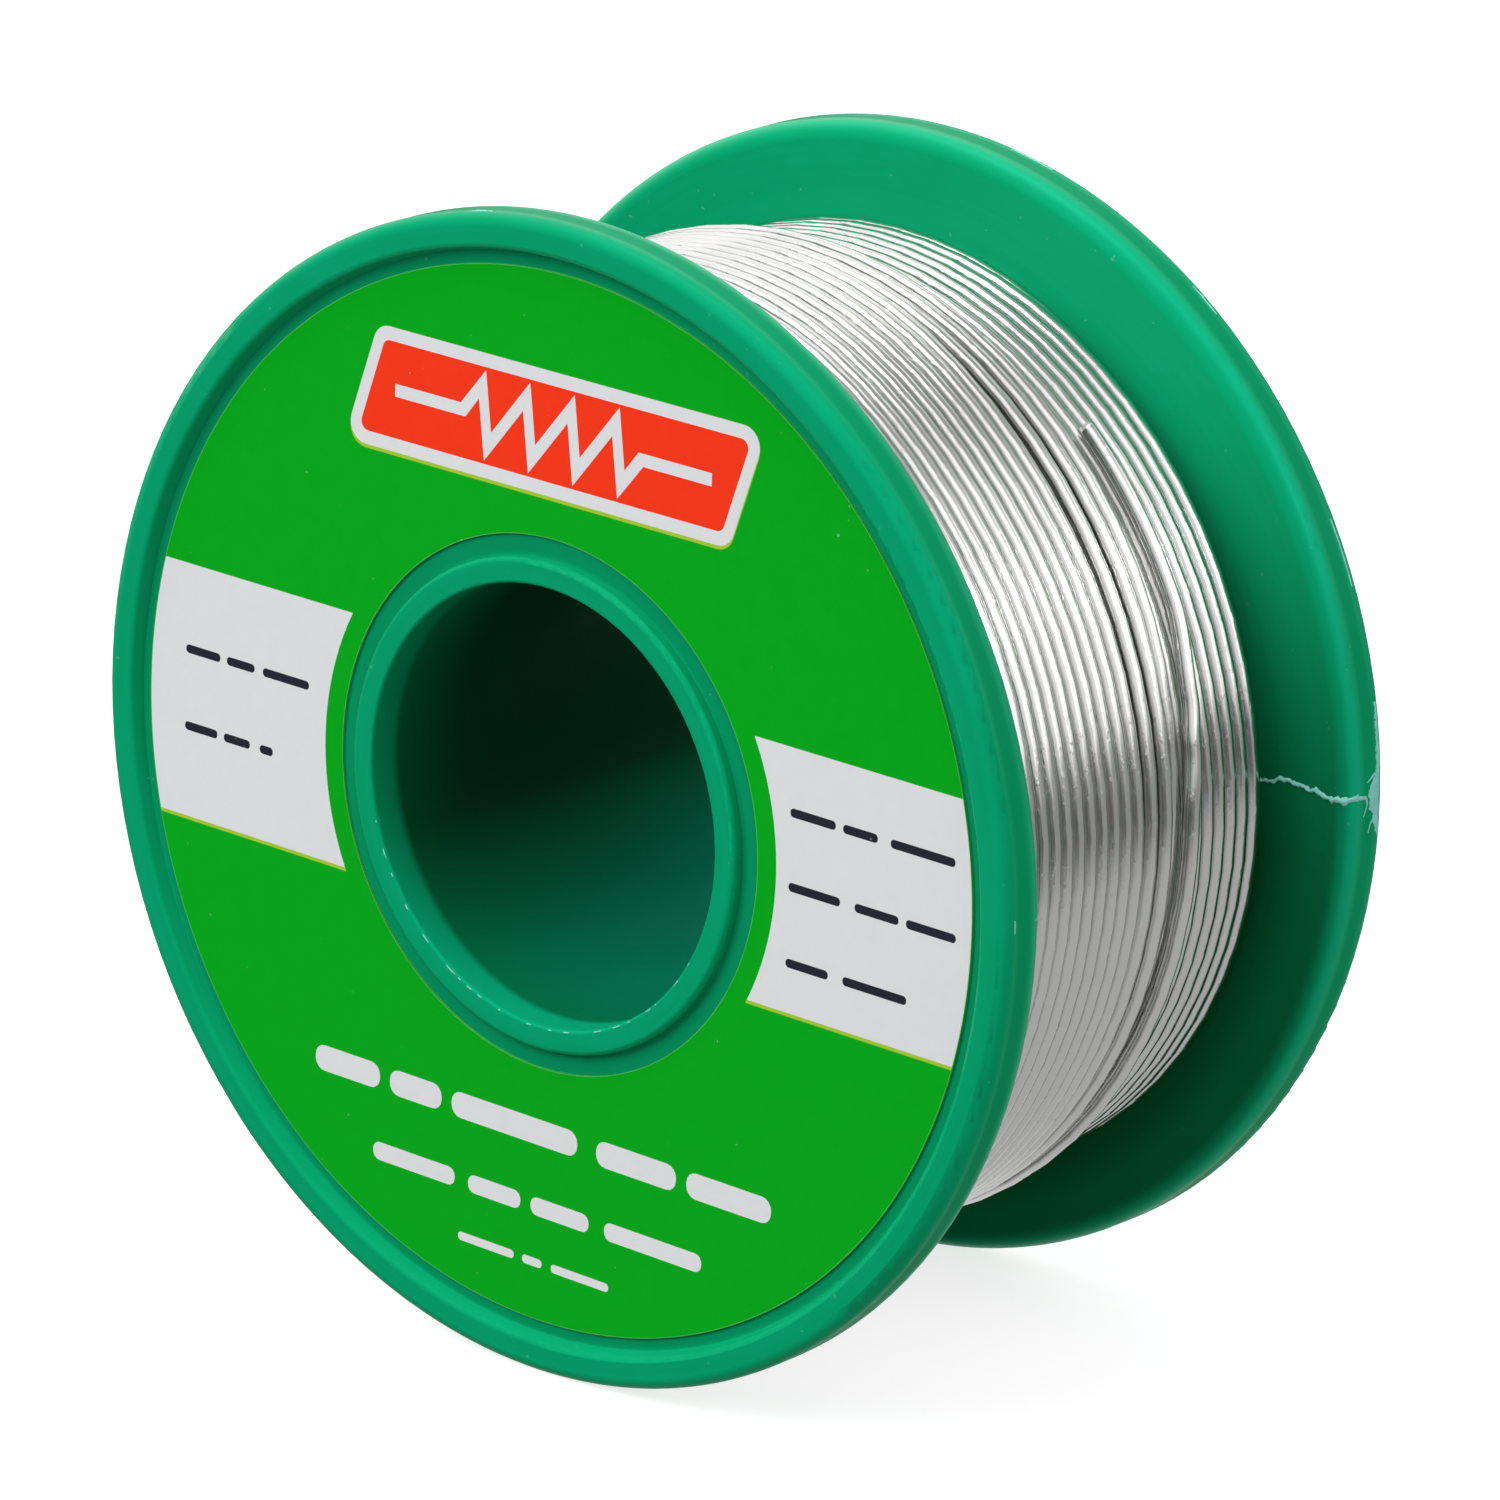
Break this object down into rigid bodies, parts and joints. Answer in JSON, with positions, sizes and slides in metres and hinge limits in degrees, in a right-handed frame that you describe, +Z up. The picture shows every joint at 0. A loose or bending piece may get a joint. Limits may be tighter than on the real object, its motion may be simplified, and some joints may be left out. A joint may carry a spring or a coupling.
{
  "type": "solder wire spool",
  "caption": "Small round flanged plastic spool wound with layers of thin flux-cored solder wire, with a round label on its front web and a cut wire end that lifts off",
  "frame": {"origin": "middle of the bore, which is the centre of the spool", "axes": "+Y along the spool's axis from the label side to the rear, +Z up, +X to the right as the label is read"},
  "size_m": [0.052, 0.026, 0.052],
  "materials": {
    "spool_plastic": "satin injection-moulded green plastic",
    "label_paper": "printed self-adhesive paper with a semi-gloss coat",
    "solder": "bright drawn tin alloy wire",
    "rosin": "amber rosin flux"
  },
  "bodies": {
    "spool": {"spool_body": "spool_plastic", "front_label": "label_paper", "winding_layer_1": "solder", "winding_layer_2": "solder", "winding_layer_3": "solder", "winding_layer_4": "solder", "winding_layer_5": "solder", "last_turn": "solder"},
    "wire_end": {"wire_free_end": "solder", "flux_core": "rosin"}
  },
  "joints": [
    {"name": "wire_end_lift", "type": "hinge", "parent": "spool", "child": "wire_end", "pos_m": [0.02237, 0.004, -0.00394], "axis": [0, 1, 0], "range_deg": [0, 80]}
  ]
}
